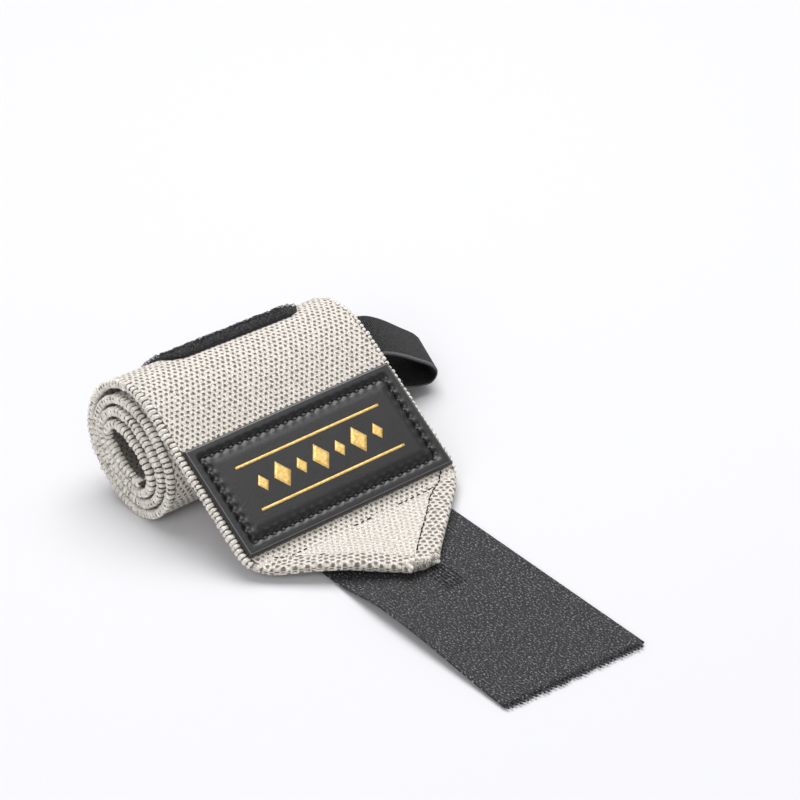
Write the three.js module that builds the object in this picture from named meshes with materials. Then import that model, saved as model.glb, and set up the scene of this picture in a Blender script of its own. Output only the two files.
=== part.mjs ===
// A wrist wrap lying on a table, part unrolled: the elastic band is wound into a flattened roll,
// its last stretch comes off the top of the roll as a sloping flap with a sewn-on label patch, and
// ends in a folded point with the hook tab under it. The loop strip lies on top of the roll and the
// thumb loop hangs out of the roll's core at the far end.
// The roll's axis is X, the flap runs towards -Y and Z is up.
import * as THREE from 'three';

// Driving dimensions in millimetres, angles in degrees
const clearance = 0.3;
const band = { width: 80, body: 2.2, edge: 2.9, edgeZone: 3 };
const roll = {
  coreLength: 16.4,
  coreWidth: 5.2,
  tilt: 33,
  endGap: 0.45,
  sideGap: 1.15,
  innerEnd: -62,
  turns: 3.3,
  telescope: 0.7,
  lean: 1.8,
};
const flap = {
  lift: 1.2,
  crestReach: 22.3,
  slope: 35.3,
  slopeLength: 37.6,
  slopeDrop: 12.66,
  runOut: 25.6,
  sag: 2.3,
};
const point = {
  length: 30,
  tipWidth: 10,
  hemWidth: 6.5,
  hemThickness: 3.2,
  shoulder: 6,
  raise: 3,
  raisedBy: 0.6,
};
const patch = { width: 77, height: 36.6, thickness: 1.2, fromTip: 33.2, corner: 0.8 };
const strip = { width: 50, length: 46, thickness: 1.9, offCentre: 3.5, pastCrest: -1.5, corner: 5 };
const tab = { width: 50, length: 88.5, thickness: 1.3, under: 23, turn: 3.5, offCentre: 2.2, curl: 2.6 };
const thumb = { width: 16, thickness: 1.3, sewnDepth: 13, reach: 37.8, rise: 16, camber: 0.9 };
const thumbLie = { tilt: 21, foldTilt: 7, foldSkew: 3.2, heldIn: 2, freeBy: 0.3, foldFrom: 0.4 };

const rad = THREE.MathUtils.degToRad;
const smooth = THREE.MathUtils.smoothstep;
const mix = THREE.MathUtils.lerp;

const colours = { cloth: 0xcfc6bd, leather: 0x26272a, pile: 0x1d1d1f, hook: 0x47474a, elastic: 0x343436 };

function fabric(color, roughness) {
  return new THREE.MeshStandardMaterial({ color, roughness, metalness: 0 });
}

// A closed sheet from rows of paired points. Each row has its upper points and its lower points, in
// the same number, and the rows follow one another so that row direction x column direction is up.
function sheet(rows) {
  const columns = rows[0].upper.length;
  const perRow = columns * 2;
  const positions = rows.flatMap((row) => [...row.upper, ...row.lower]).flatMap((p) => [p.x, p.y, p.z]);
  const upper = (i, j) => i * perRow + j;
  const lower = (i, j) => i * perRow + columns + j;
  const index = [];
  const quad = (a, b, c, d) => index.push(a, b, c, a, c, d);
  const last = rows.length - 1;
  const right = columns - 1;
  for (let i = 0; i < last; i += 1) {
    for (let j = 0; j < right; j += 1) {
      quad(upper(i, j), upper(i + 1, j), upper(i + 1, j + 1), upper(i, j + 1));
      quad(lower(i, j), lower(i, j + 1), lower(i + 1, j + 1), lower(i + 1, j));
    }
    quad(upper(i, 0), lower(i, 0), lower(i + 1, 0), upper(i + 1, 0));
    quad(upper(i, right), upper(i + 1, right), lower(i + 1, right), lower(i, right));
  }
  for (let j = 0; j < right; j += 1) {
    quad(upper(0, j), upper(0, j + 1), lower(0, j + 1), lower(0, j));
    quad(upper(last, j), lower(last, j), lower(last, j + 1), upper(last, j + 1));
  }
  const geometry = new THREE.BufferGeometry();
  geometry.setAttribute('position', new THREE.Float32BufferAttribute(positions, 3));
  geometry.setIndex(index);
  geometry.computeVertexNormals();
  return geometry;
}

// The roll in side view: the middle of the cloth at a winding angle. The core is an ellipse, and each
// turn adds one thickness and the gap between turns, which is wider on the flat sides. Vector2 x is
// the object's y, and Vector2 y is its height over the core's centre.
const coreAlong = new THREE.Vector2(-Math.cos(rad(roll.tilt)), -Math.sin(rad(roll.tilt)));
const coreAcross = new THREE.Vector2(-Math.sin(rad(roll.tilt)), Math.cos(rad(roll.tilt)));
const crestAngle = 180 - roll.tilt;

function rollDistance(angle) {
  const end = Math.sin(rad(angle)) ** 2;
  const pitch = band.edge + mix(roll.sideGap, roll.endGap, end);
  const core = Math.hypot(roll.coreLength * Math.sin(rad(angle)), roll.coreWidth * Math.cos(rad(angle))) / 2;
  return core + band.edge / 2 + (pitch * angle) / 360;
}

function rollPoint(angle) {
  const step = 0.5;
  const distance = rollDistance(angle);
  const growth = (rollDistance(angle + step) - rollDistance(angle - step)) / rad(2 * step);
  const out = coreAcross.clone().multiplyScalar(-Math.cos(rad(angle)));
  out.addScaledVector(coreAlong, -Math.sin(rad(angle)));
  const forward = coreAcross.clone().multiplyScalar(Math.sin(rad(angle)));
  forward.addScaledVector(coreAlong, -Math.cos(rad(angle)));
  return out.multiplyScalar(distance).addScaledVector(forward, growth);
}

// The whole centreline, from the inner end to the tip of the point, as stations with their distance
// along the cloth, their outward normal and their shift along the roll's axis.
const stepAngle = 10;
const samples = { lift: 7, crest: 12, slope: 8, bend: 6, runOut: 9 };
const firstAngle = roll.innerEnd;
const leaveAngle = roll.innerEnd + roll.turns * 360;
const lastCrest = crestAngle + 360 * Math.round((leaveAngle - crestAngle) / 360);

// The turns slide a little out of line, each one further than the turn outside it
function slipAt(angle) {
  return -roll.telescope * Math.max(0, (lastCrest - angle) / 360);
}

function rollPoints() {
  const count = Math.round((leaveAngle - firstAngle) / stepAngle);
  return Array.from({ length: count + 1 }, (_, i) => {
    const angle = mix(firstAngle, leaveAngle, i / count);
    return { at: rollPoint(angle), slip: slipAt(angle) };
  });
}

// The flap: over the crest with a little lift, down a straight slope that carries the patch, and out
// flat on top of the tab. The shares say how long a curve's handles are.
const handleShare = { lift: 0.38, crest: 0.42, bend: 0.6 };

function flapPoints(floor) {
  const slopeWay = new THREE.Vector2(-Math.cos(rad(flap.slope)), -Math.sin(rad(flap.slope)));
  const leave = rollPoint(leaveAngle);
  const leaveWay = rollPoint(leaveAngle + 1).sub(rollPoint(leaveAngle - 1)).normalize();
  const crest = rollPoint(lastCrest).add(new THREE.Vector2(0, flap.lift));
  const slopeTop = new THREE.Vector2(crest.x - flap.crestReach, crest.y - flap.slopeDrop);
  const slopeEnd = slopeTop.clone().addScaledVector(slopeWay, flap.slopeLength);
  const restHeight = floor + tab.thickness + clearance + point.hemThickness / 2;
  const bendRadius = (slopeEnd.y - restHeight) / (1 - Math.cos(rad(flap.slope)));
  const bendEnd = new THREE.Vector2(slopeEnd.x - bendRadius * Math.sin(rad(flap.slope)), restHeight);
  const path = new THREE.CurvePath();
  const rise = leave.distanceTo(crest) * handleShare.lift;
  const crestHandle = flap.crestReach * handleShare.crest;
  path.add(new THREE.CubicBezierCurve(
    leave,
    leave.clone().addScaledVector(leaveWay, rise),
    new THREE.Vector2(crest.x + rise, crest.y),
    crest,
  ));
  path.add(new THREE.CubicBezierCurve(
    crest,
    new THREE.Vector2(crest.x - crestHandle, crest.y),
    slopeTop.clone().addScaledVector(slopeWay, -crestHandle),
    slopeTop,
  ));
  path.add(new THREE.LineCurve(slopeTop, slopeEnd));
  const bendHandle = bendRadius * Math.tan(rad(flap.slope / 2)) * handleShare.bend;
  path.add(new THREE.CubicBezierCurve(
    slopeEnd,
    slopeEnd.clone().addScaledVector(slopeWay, bendHandle),
    new THREE.Vector2(bendEnd.x + bendHandle, bendEnd.y),
    bendEnd,
  ));
  path.add(new THREE.LineCurve(bendEnd, new THREE.Vector2(bendEnd.x - flap.runOut, bendEnd.y)));
  const counts = [samples.lift, samples.crest, samples.slope, samples.bend, samples.runOut];
  const points = path.curves.flatMap((curve, i) => curve.getPoints(counts[i]).slice(1));
  const leaveSlip = slipAt(leaveAngle);
  return points.map((at, i) => ({ at, slip: leaveSlip * Math.max(0, 1 - (i + 1) / samples.lift) }));
}

function centreline() {
  const wound = rollPoints();
  const lowest = Math.min(...wound.map((p) => p.at.y));
  const floor = lowest - band.edge / 2;
  const points = [...wound, ...flapPoints(floor)];
  const top = Math.max(...points.map((p) => p.at.y));
  const leave = wound.length - 1;
  const crestIndex = points.findIndex((p) => p.at.y === top);
  let along = 0;
  return points.map((p, i) => {
    const before = points[Math.max(0, i - 1)].at;
    const after = points[Math.min(points.length - 1, i + 1)].at;
    const way = after.clone().sub(before).normalize();
    along += p.at.distanceTo(before);
    const leaning = i < crestIndex ? roll.lean * ((top - p.at.y) / (top - lowest)) : 0;
    const shift = p.slip - leaning;
    const rising = smooth(i, leave, crestIndex);
    const sinking = 1 - smooth(i, crestIndex, crestIndex + samples.crest);
    const sag = flap.sag * Math.min(rising, sinking);
    return { along, shift, sag, y: p.at.x, z: p.at.y - floor, ny: way.y, nz: -way.x };
  });
}

const line = centreline();
const bandLength = line[line.length - 1].along;
const pointStart = bandLength - point.length;
const topHeight = Math.max(...line.map((p) => p.z));
const crestAlong = line.find((p) => p.z === topHeight).along;

// The station at a distance along the cloth, between the listed ones
function stationAt(along) {
  const next = Math.min(line.length - 1, Math.max(1, line.findIndex((p) => p.along >= along)));
  const a = line[next - 1];
  const b = line[next];
  const share = (along - a.along) / (b.along - a.along);
  const between = (key) => mix(a[key], b[key], share);
  const values = ['shift', 'sag', 'y', 'z', 'ny', 'nz'].map((key) => [key, between(key)]);
  return { along, ...Object.fromEntries(values) };
}

// A point of the cloth: the crest sags towards the far end, and the near side of the point stands
// a little off the table
function onCloth(station, across, height) {
  const farShare = 0.5 + across / band.width;
  const nearSide = Math.max(0, -across / (band.width / 2));
  const lifting = smooth(station.along, pointStart, pointStart + point.length * point.raisedBy);
  const raised = point.raise * Math.sqrt(nearSide) * lifting;
  return new THREE.Vector3(
    station.shift + across,
    station.y + station.ny * height,
    station.z + station.nz * height - station.sag * farShare + raised,
  );
}

// Half the band's width: full along the roll and the flap, then drawn in to the blunt tip, with the
// shoulders rounded
function halfWidth(along) {
  const taper = (band.width - point.tipWidth) / 2 / point.length;
  const past = along - pointStart;
  if (past <= -point.shoulder) return band.width / 2;
  if (past >= point.shoulder) return band.width / 2 - taper * past;
  return band.width / 2 - (taper * (past + point.shoulder) ** 2) / (4 * point.shoulder);
}

// The band's section: a thin middle, and along both edges the thicker whipped selvedge, which on the
// point becomes the folded hem. The edge itself and the tip are thinner, as if rounded.
const edgeRound = { depth: 0.7, share: 0.5, tipShare: 0.55 };
const zoneLimit = 0.7;
const zoneSlope = 0.2;

function bandRow(station) {
  const half = halfWidth(station.along);
  const hem = smooth(station.along, pointStart - point.shoulder, pointStart + point.shoulder);
  const zone = Math.min(mix(band.edgeZone, point.hemWidth * Math.SQRT2, hem), half * zoneLimit);
  const tip = mix(edgeRound.tipShare, 1, smooth(bandLength - station.along, 0, band.edge / 2));
  const edge = (mix(band.edge, point.hemThickness, hem) / 2) * tip;
  const body = (band.body / 2) * tip;
  const side = [
    { in: 0, half: edge * edgeRound.share },
    { in: Math.min(edgeRound.depth, zone * zoneSlope), half: edge },
    { in: zone * (1 - zoneSlope), half: edge },
    { in: zone * (1 + zoneSlope), half: body },
  ];
  const columns = [
    ...side.map((c) => ({ across: c.in - half, half: c.half })),
    { across: 0, half: body },
    ...side.reverse().map((c) => ({ across: half - c.in, half: c.half })),
  ];
  return {
    upper: columns.map((c) => onCloth(station, c.across, c.half)),
    lower: columns.map((c) => onCloth(station, c.across, -c.half)),
  };
}

function makeBand() {
  const tipRow = stationAt(bandLength - band.edge / 2);
  const rows = [...line.slice(0, -1), tipRow, line[line.length - 1]].sort((a, b) => a.along - b.along);
  return sheet(rows.map(bandRow));
}

// A flat piece sewn on the cloth's outer face, from one distance along the cloth to another
function sewnSheet({ from, length, width, thickness, offCentre, corner, steps, lift }) {
  const rows = Array.from({ length: steps + 1 }, (_, i) => {
    const ease = (1 - Math.cos((Math.PI * i) / steps)) / 2;
    const along = ease * length;
    const station = stationAt(from + along);
    const toEnd = Math.min(along, length - along);
    const drawnIn = toEnd < corner ? corner - Math.sqrt(corner ** 2 - (corner - toEnd) ** 2) : 0;
    const half = width / 2 - drawnIn;
    const across = [-1, -0.5, 0, 0.5, 1].map((share) => offCentre + share * half);
    return {
      upper: across.map((x) => onCloth(station, x, lift + thickness)),
      lower: across.map((x) => onCloth(station, x, lift)),
    };
  });
  return sheet(rows);
}

function makePatch() {
  const from = bandLength - patch.fromTip - patch.height;
  const lift = band.edge / 2 + clearance;
  return sewnSheet({ ...patch, from, length: patch.height, offCentre: 0, steps: 12, lift });
}

function makeStrip() {
  const from = crestAlong + strip.pastCrest - strip.length;
  const lift = band.body / 2 + clearance;
  return sewnSheet({ ...strip, from, steps: 24, lift });
}

// The hook tab: flat on the table, slipped under the point and turned a little, its left side curling
// up just past the point. The curl's span is in shares of the part under the point and of the length.
const curlSpan = { from: 0.5, full: 1.4, fall: 0.55 };

function makeTab() {
  const tip = line[line.length - 1];
  const across = [-1, -0.75, -0.5, -0.25, 0, 0.5, 1];
  const steps = 16;
  const rows = Array.from({ length: steps + 1 }, (_, i) => {
    const along = (tab.length * i) / steps;
    const centre = new THREE.Vector3(0, tab.under - along, 0);
    const rising = smooth(along, tab.under * curlSpan.from, tab.under * curlSpan.full);
    const falling = smooth(tab.length - along, 0, tab.length * curlSpan.fall);
    const upper = across.map((share) => {
      const side = Math.max(0, -share);
      const height = tab.thickness + tab.curl * side ** 2 * rising * falling;
      return new THREE.Vector3((share * tab.width) / 2, centre.y, height);
    });
    return { upper, lower: upper.map((p) => new THREE.Vector3(p.x, p.y, p.z - tab.thickness)) };
  });
  const geometry = sheet(rows);
  geometry.rotateZ(-rad(tab.turn));
  geometry.translate(tab.offCentre, tip.y, 0);
  return geometry;
}

// The thumb loop: one strap, both ends sewn in the core, bulging out past the roll's far end and
// folding over. Its route is given in shares of the reach and the rise, out and back again.
function makeThumbLoop() {
  const coreHeight = -Math.min(...rollPoints().map((p) => p.at.y)) + band.edge / 2;
  const mouth = band.width / 2 - roll.telescope * roll.turns - roll.lean / 2;
  const ply = (thumb.thickness + clearance) / 2;
  const slotMiddle = (band.edge + roll.sideGap) / 4;
  const outside = [
    { out: 0.0, up: 0.03 },
    { out: 0.14, up: 0.24 },
    { out: 0.26, up: 0.32 },
    { out: 0.39, up: 0.28 },
    { out: 0.54, up: 0.11 },
    { out: 0.77, up: -0.26 },
    { out: 0.93, up: -0.55 },
    { out: 0.98, up: -0.74 },
    { out: 0.93, up: -0.86 },
    { out: 0.82, up: -0.83 },
    { out: 0.62, up: -0.65 },
    { out: 0.37, up: -0.37 },
    { out: 0.16, up: -0.15 },
    { out: 0.0, up: -0.03 },
  ];
  const start = new THREE.Vector3(mouth - thumb.sewnDepth, ply, 0);
  const bulge = outside.map((p) => new THREE.Vector3(mouth + p.out * thumb.reach, p.up * thumb.rise, 0));
  const end = new THREE.Vector3(mouth - thumb.sewnDepth, -ply, 0);
  const route = new THREE.CatmullRomCurve3([start, ...bulge, end], false, 'centripetal');
  const steps = 60;
  const across = [-1, -0.6, -0.2, 0.2, 0.6, 1];
  const rows = Array.from({ length: steps + 1 }, (_, i) => {
    const at = route.getPointAt(i / steps);
    const way = route.getTangentAt(i / steps);
    const free = smooth(at.x, mouth - thumbLie.heldIn, mouth + thumb.reach * thumbLie.freeBy);
    const toFold = smooth(at.x, mouth + thumb.reach * thumbLie.foldFrom, mouth + thumb.reach);
    const tilt = rad(mix(roll.tilt, mix(thumbLie.tilt, thumbLie.foldTilt, toFold), free));
    const skew = thumbLie.foldSkew * Math.max(0, (at.x - mouth) / thumb.reach);
    const bow = thumb.camber * (1 - free);
    const place = (share, side) => {
      const x = at.x - (way.y * side * thumb.thickness) / 2 + share * skew;
      const middle = slotMiddle * (1 - free) - bow * (1 - share ** 2);
      const height = at.y + (way.x * side * thumb.thickness) / 2 + middle;
      const width = (share * thumb.width) / 2;
      const y = width * Math.cos(tilt) - height * Math.sin(tilt) * (1 - free);
      const z = coreHeight + width * Math.sin(tilt) + height * mix(Math.cos(tilt), 1, free);
      return new THREE.Vector3(x, y, z);
    };
    return { upper: across.map((share) => place(share, 1)), lower: across.map((share) => place(share, -1)) };
  });
  return sheet(rows);
}

const group = new THREE.Group();

function add(name, geometry, material) {
  const mesh = new THREE.Mesh(geometry, material);
  mesh.name = name;
  group.add(mesh);
}

add('band', makeBand(), fabric(colours.cloth, 0.9));
add('label_patch', makePatch(), fabric(colours.leather, 0.45));
add('loop_strip', makeStrip(), fabric(colours.pile, 1));
add('hook_tab', makeTab(), fabric(colours.hook, 0.8));
add('thumb_loop', makeThumbLoop(), fabric(colours.elastic, 0.85));

// The origin is under the middle of the object, on the table
const box = new THREE.Box3().setFromObject(group);
const middle = box.getCenter(new THREE.Vector3());
group.position.set(-middle.x, -middle.y, -box.min.z);
group.updateMatrixWorld(true);

export default group;
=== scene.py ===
# A wrist wrap lying on a table, part unrolled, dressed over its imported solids: a knitted elastic band
# with whipped selvedges, a stitched leather patch, a folded point, hook tape, a strip of loop pile and
# an elastic thumb loop. Lengths are in millimetres until lay() turns them into the frame's metres.
import bisect
import math
import random
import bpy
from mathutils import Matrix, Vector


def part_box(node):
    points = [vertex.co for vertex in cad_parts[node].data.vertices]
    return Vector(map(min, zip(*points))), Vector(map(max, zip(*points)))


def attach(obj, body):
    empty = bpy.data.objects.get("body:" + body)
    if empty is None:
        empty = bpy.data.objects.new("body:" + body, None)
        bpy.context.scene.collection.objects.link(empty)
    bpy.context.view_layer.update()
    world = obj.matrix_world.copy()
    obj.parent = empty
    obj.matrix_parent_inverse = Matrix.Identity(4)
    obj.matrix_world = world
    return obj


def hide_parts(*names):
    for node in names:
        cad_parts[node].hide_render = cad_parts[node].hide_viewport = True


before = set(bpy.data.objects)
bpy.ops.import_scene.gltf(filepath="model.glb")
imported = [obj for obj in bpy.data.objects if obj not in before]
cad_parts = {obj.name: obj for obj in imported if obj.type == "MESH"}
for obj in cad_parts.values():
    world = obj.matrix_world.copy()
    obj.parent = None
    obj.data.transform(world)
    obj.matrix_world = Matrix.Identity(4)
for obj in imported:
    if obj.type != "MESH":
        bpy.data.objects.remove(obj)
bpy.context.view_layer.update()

from types import SimpleNamespace as Sizes

import bmesh
import bpy
from mathutils import Matrix, Vector, noise

MM = 0.001

# Driving sizes of the solids, the same as in the part's source
clearance = 0.3
band = Sizes(width=80, body=2.2, edge=2.9)
roll = Sizes(
    core_length=16.4,
    core_width=5.2,
    tilt=33,
    end_gap=0.45,
    side_gap=1.15,
    inner_end=-62,
    turns=3.3,
    telescope=0.7,
    lean=1.8,
)
flap = Sizes(
    lift=1.2,
    crest_reach=22.3,
    slope=35.3,
    slope_length=37.6,
    slope_drop=12.66,
    run_out=25.6,
    sag=2.3,
)
point = Sizes(
    length=30,
    tip_width=10,
    hem_width=6.5,
    hem_thickness=3.2,
    shoulder=6,
    raised=3,
    raised_by=0.6,
)
patch = Sizes(width=77, height=36.6, thickness=1.2, from_tip=33.2)
strip = Sizes(width=50, length=46, thickness=1.9, off_centre=3.5, past_crest=-1.5, corner=5)
tab = Sizes(width=50, length=88.5, thickness=1.3, under=23, turn=3.5, off_centre=2.2, curl=2.6)
thumb = Sizes(width=16, thickness=1.3, sewn_depth=13, reach=37.8, rise=16, camber=0.9)
thumb_lie = Sizes(tilt=21, fold_tilt=7, fold_skew=3.2)

# Sizes of what the solids leave out
knit = Sizes(row=1.47, column=1.94, hole=0.32)
hem_knit = Sizes(row=1.75, column=2.1, hole=0.44)
whip = Sizes(pitch=1.6, length=1.5, depth=2.5, far_depth=1.6, height=2.75, overhang=0.3)
frame_seam = Sizes(inset=3.9, pitch=3.4, groove=1.6, depth=1.0, pucker=0.14, rim=0.5)
padding = Sizes(height=0.3, start=0.3, full=4)
foil = Sizes(step=7.2, half_width=3.1, half_height=4.4, small=0.62, thickness=0.06)
rule = Sizes(off_middle=7.2, half_length=27, width=0.8)
pile = Sizes(pitch=0.85, loop=0.62, fibre=0.16, gap=0.12, backing=0.7)
hooks = Sizes(pitch=1.6, loop=0.24, fibre=0.12, backing=0.75, margin=1.5, start=1.2)
comb = Sizes(length=1.5, width=0.62, height=0.6)
thread = Sizes(length=1.75, width=0.58, height=0.4)
stray = Sizes(width=0.045, length=1.7, count=330)
fray = Sizes(radius=0.75, width=0.22, count=150)
knot = Sizes(length=2.3, depth=1.35, height=1.3, count=9)


def rad(degrees):
    return math.radians(degrees)


def mix(a, b, share):
    return a + (b - a) * share


def smooth(value, low, high):
    share = min(1, max(0, (value - low) / (high - low)))
    return share * share * (3 - 2 * share)


def rounded(distance, radius):
    """How full a rounded edge is at a distance from it, from 0 at the edge to 1 past the radius"""
    inside = 1 - min(1, max(0, distance / radius))
    return math.sqrt(1 - inside * inside)


# The roll in side view, as in the part's source: the middle of the cloth at a winding angle, as
# (y, z) from the roll's core
core_along = Vector((-math.cos(rad(roll.tilt)), -math.sin(rad(roll.tilt))))
core_across = Vector((-math.sin(rad(roll.tilt)), math.cos(rad(roll.tilt))))
crest_angle = 180 - roll.tilt


def roll_distance(angle):
    end = math.sin(rad(angle)) ** 2
    pitch = band.edge + mix(roll.side_gap, roll.end_gap, end)
    long_half = roll.core_length * math.sin(rad(angle)) / 2
    short_half = roll.core_width * math.cos(rad(angle)) / 2
    return math.hypot(long_half, short_half) + band.edge / 2 + pitch * angle / 360


def roll_point(angle):
    step = 0.5
    distance = roll_distance(angle)
    growth = (roll_distance(angle + step) - roll_distance(angle - step)) / rad(2 * step)
    out = -math.cos(rad(angle)) * core_across - math.sin(rad(angle)) * core_along
    forward = math.sin(rad(angle)) * core_across - math.cos(rad(angle)) * core_along
    return distance * out + growth * forward


fineness = 3
step_angle = 10 / fineness
samples = Sizes(
    lift=7 * fineness,
    crest=12 * fineness,
    slope=8 * fineness,
    bend=6 * fineness,
    run_out=9 * fineness,
)
leave_angle = roll.inner_end + roll.turns * 360
last_crest = crest_angle + 360 * round((leave_angle - crest_angle) / 360)


def bezier(start, handle_a, handle_b, end, count):
    """The points of a curve after its start"""
    found = []
    for i in range(1, count + 1):
        t = i / count
        s = 1 - t
        found.append(
            start * s**3 + handle_a * (3 * s * s * t) + handle_b * (3 * s * t * t) + end * t**3
        )
    return found


def flap_points(floor):
    """The flap: over the crest, down the slope that carries the patch, and out flat on the tab"""
    slope_way = Vector((-math.cos(rad(flap.slope)), -math.sin(rad(flap.slope))))
    leave = roll_point(leave_angle)
    leave_way = (roll_point(leave_angle + 1) - roll_point(leave_angle - 1)).normalized()
    crest = roll_point(last_crest) + Vector((0, flap.lift))
    slope_top = Vector((crest.x - flap.crest_reach, crest.y - flap.slope_drop))
    slope_end = slope_top + slope_way * flap.slope_length
    rest_height = floor + tab.thickness + clearance + point.hem_thickness / 2
    bend_radius = (slope_end.y - rest_height) / (1 - math.cos(rad(flap.slope)))
    bend_end = Vector((slope_end.x - bend_radius * math.sin(rad(flap.slope)), rest_height))
    rise = (leave - crest).length * 0.38
    crest_handle = flap.crest_reach * 0.42
    bend_handle = bend_radius * math.tan(rad(flap.slope / 2)) * 0.6
    run_end = Vector((bend_end.x - flap.run_out, bend_end.y))
    level = Vector((1, 0))
    found = bezier(
        leave,
        leave + leave_way * rise,
        crest + level * rise,
        crest,
        samples.lift,
    )
    found += bezier(
        crest,
        crest - level * crest_handle,
        slope_top - slope_way * crest_handle,
        slope_top,
        samples.crest,
    )
    found += [slope_top.lerp(slope_end, (i + 1) / samples.slope) for i in range(samples.slope)]
    found += bezier(
        slope_end,
        slope_end + slope_way * bend_handle,
        bend_end + level * bend_handle,
        bend_end,
        samples.bend,
    )
    found += [bend_end.lerp(run_end, (i + 1) / samples.run_out) for i in range(samples.run_out)]
    return found


def centreline():
    """Stations from the inner end to the tip, each with its distance along the cloth, its shift along
    the roll's axis, its sag, its place in side view and its outward normal there"""
    count = round((leave_angle - roll.inner_end) / step_angle)
    angles = [mix(roll.inner_end, leave_angle, i / count) for i in range(count + 1)]
    wound = [roll_point(angle) for angle in angles]
    lowest = min(p.y for p in wound)
    floor = lowest - band.edge / 2
    points = wound + flap_points(floor)
    top = max(p.y for p in points)
    leave = count
    crest = next(i for i, p in enumerate(points) if p.y == top)
    stations = []
    along = 0
    for i, at in enumerate(points):
        before = points[max(0, i - 1)]
        after = points[min(len(points) - 1, i + 1)]
        way = (after - before).normalized()
        along += (at - before).length
        if i <= leave:
            behind = (last_crest - angles[i]) / 360
        else:
            behind = (last_crest - leave_angle) / 360 * max(0, crest - i) / (crest - leave)
        leaning = roll.lean * (top - at.y) / (top - lowest) if i < crest else 0
        rising = smooth(i, leave, crest)
        sinking = 1 - smooth(i, crest, crest + samples.crest)
        stations.append(
            Sizes(
                along=along,
                shift=-roll.telescope * max(0, behind) - leaning,
                sag=flap.sag * min(rising, sinking),
                y=at.x,
                z=at.y - floor,
                ny=way.y,
                nz=-way.x,
            )
        )
    return stations


line = centreline()
alongs = [s.along for s in line]
band_length = alongs[-1]
point_start = band_length - point.length
top_height = max(s.z for s in line)
crest_along = next(s.along for s in line if s.z == top_height)
tip = line[-1]
taper = (band.width - point.tip_width) / 2 / point.length
slant = math.hypot(1, taper)

low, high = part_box("band")
roll_stands = Vector((high[0] / MM - band.width / 2, low[1] / MM - tip.y, 0))


def lay(at):
    """A point in millimetres from the roll's core, in the frame's metres"""
    return (at + roll_stands) * MM


def station_at(along):
    after = min(len(line) - 1, max(1, bisect.bisect_left(alongs, along)))
    a = line[after - 1]
    b = line[after]
    share = (along - a.along) / (b.along - a.along)
    return Sizes(
        along=along,
        shift=mix(a.shift, b.shift, share),
        sag=mix(a.sag, b.sag, share),
        y=mix(a.y, b.y, share),
        z=mix(a.z, b.z, share),
        ny=mix(a.ny, b.ny, share),
        nz=mix(a.nz, b.nz, share),
    )


def on_cloth(station, across, height):
    """A point of the cloth: the crest sags towards the far end, and the near side of the point stands
    a little off the table"""
    far_share = 0.5 + across / band.width
    near_side = max(0, -across / (band.width / 2))
    lifting = smooth(station.along, point_start, point_start + point.length * point.raised_by)
    raised = point.raised * math.sqrt(near_side) * lifting
    return Vector(
        (
            station.shift + across,
            station.y + station.ny * height,
            station.z + station.nz * height - station.sag * far_share + raised,
        )
    )


def half_width(along):
    past = along - point_start
    if past <= -point.shoulder:
        return band.width / 2
    if past >= point.shoulder:
        return band.width / 2 - taper * past
    return band.width / 2 - taper * (past + point.shoulder) ** 2 / (4 * point.shoulder)


def upright(at):
    """A matrix that sets a small shape, drawn in millimetres, at a point of the table's frame"""
    return Matrix.Translation(lay(at)) @ Matrix.Scale(MM, 4)


def cloth_frame(along, across, height):
    """A matrix that sets a small shape on the cloth: its x runs along it, y across and z out of it"""
    station = station_at(along)
    here = on_cloth(station, across, height)
    way = (on_cloth(station_at(along + 0.4), across, height) - here).normalized()
    beside = on_cloth(station, across + 0.4, height) - here
    out = way.cross(beside).normalized()
    side = out.cross(way)
    turned = Matrix((way, side, out)).transposed().to_4x4()
    return Matrix.Translation(lay(here)) @ turned @ Matrix.Scale(MM, 4)


# Small helpers for meshes


def cuts(length, step):
    count = max(2, round(length / step))
    return [length * i / count for i in range(count + 1)]


def slab(along_cuts, across_cuts, place, extra=None):
    """A closed slab, cut flat from a grid and then laid on its path. place takes the distance along,
    the place across and the layer, 1 upper and -1 lower, and gives the point in millimetres and its
    (u, v). extra gives a second (u, v) and a share for an attribute."""
    bm = bmesh.new()
    rows = len(along_cuts) - 1
    columns = len(across_cuts) - 1
    bmesh.ops.create_grid(bm, x_segments=rows, y_segments=columns, size=0.5)
    made = bmesh.ops.extrude_face_region(bm, geom=bm.faces[:], use_keep_orig=True)
    lower = [g for g in made["geom"] if isinstance(g, bmesh.types.BMVert)]
    bmesh.ops.translate(bm, verts=lower, vec=(0, 0, -1))
    surface = bm.loops.layers.uv.new("surface")
    second = bm.loops.layers.uv.new("hem") if extra else None
    share = bm.verts.layers.float.new("hem_share") if extra else None
    coordinates = {}
    for vert in bm.verts:
        along = along_cuts[round((vert.co.x + 0.5) * rows)]
        across = across_cuts[round((vert.co.y + 0.5) * columns)]
        layer = 1 if vert.co.z > -0.5 else -1
        at, uv = place(along, across, layer)
        hem_uv = None
        if extra:
            hem_uv, vert[share] = extra(along, across, layer)
        vert.co = lay(at)
        coordinates[vert] = (uv, hem_uv)
    for face in bm.faces:
        for loop in face.loops:
            uv, hem_uv = coordinates[loop.vert]
            loop[surface].uv = uv
            if extra:
                loop[second].uv = hem_uv
    bmesh.ops.recalc_face_normals(bm, faces=bm.faces[:])
    return bm


def finished(name, bm, material):
    """Makes the piece, smooth-shaded, riding on the body and taking its finish from a slot"""
    mesh = bpy.data.meshes.new(name)
    bm.to_mesh(mesh)
    bm.free()
    mesh.shade_smooth()
    mesh.materials.append(material)
    made = bpy.data.objects.new(name, mesh)
    bpy.context.scene.collection.objects.link(made)
    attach(made, "root")
    return made


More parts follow.
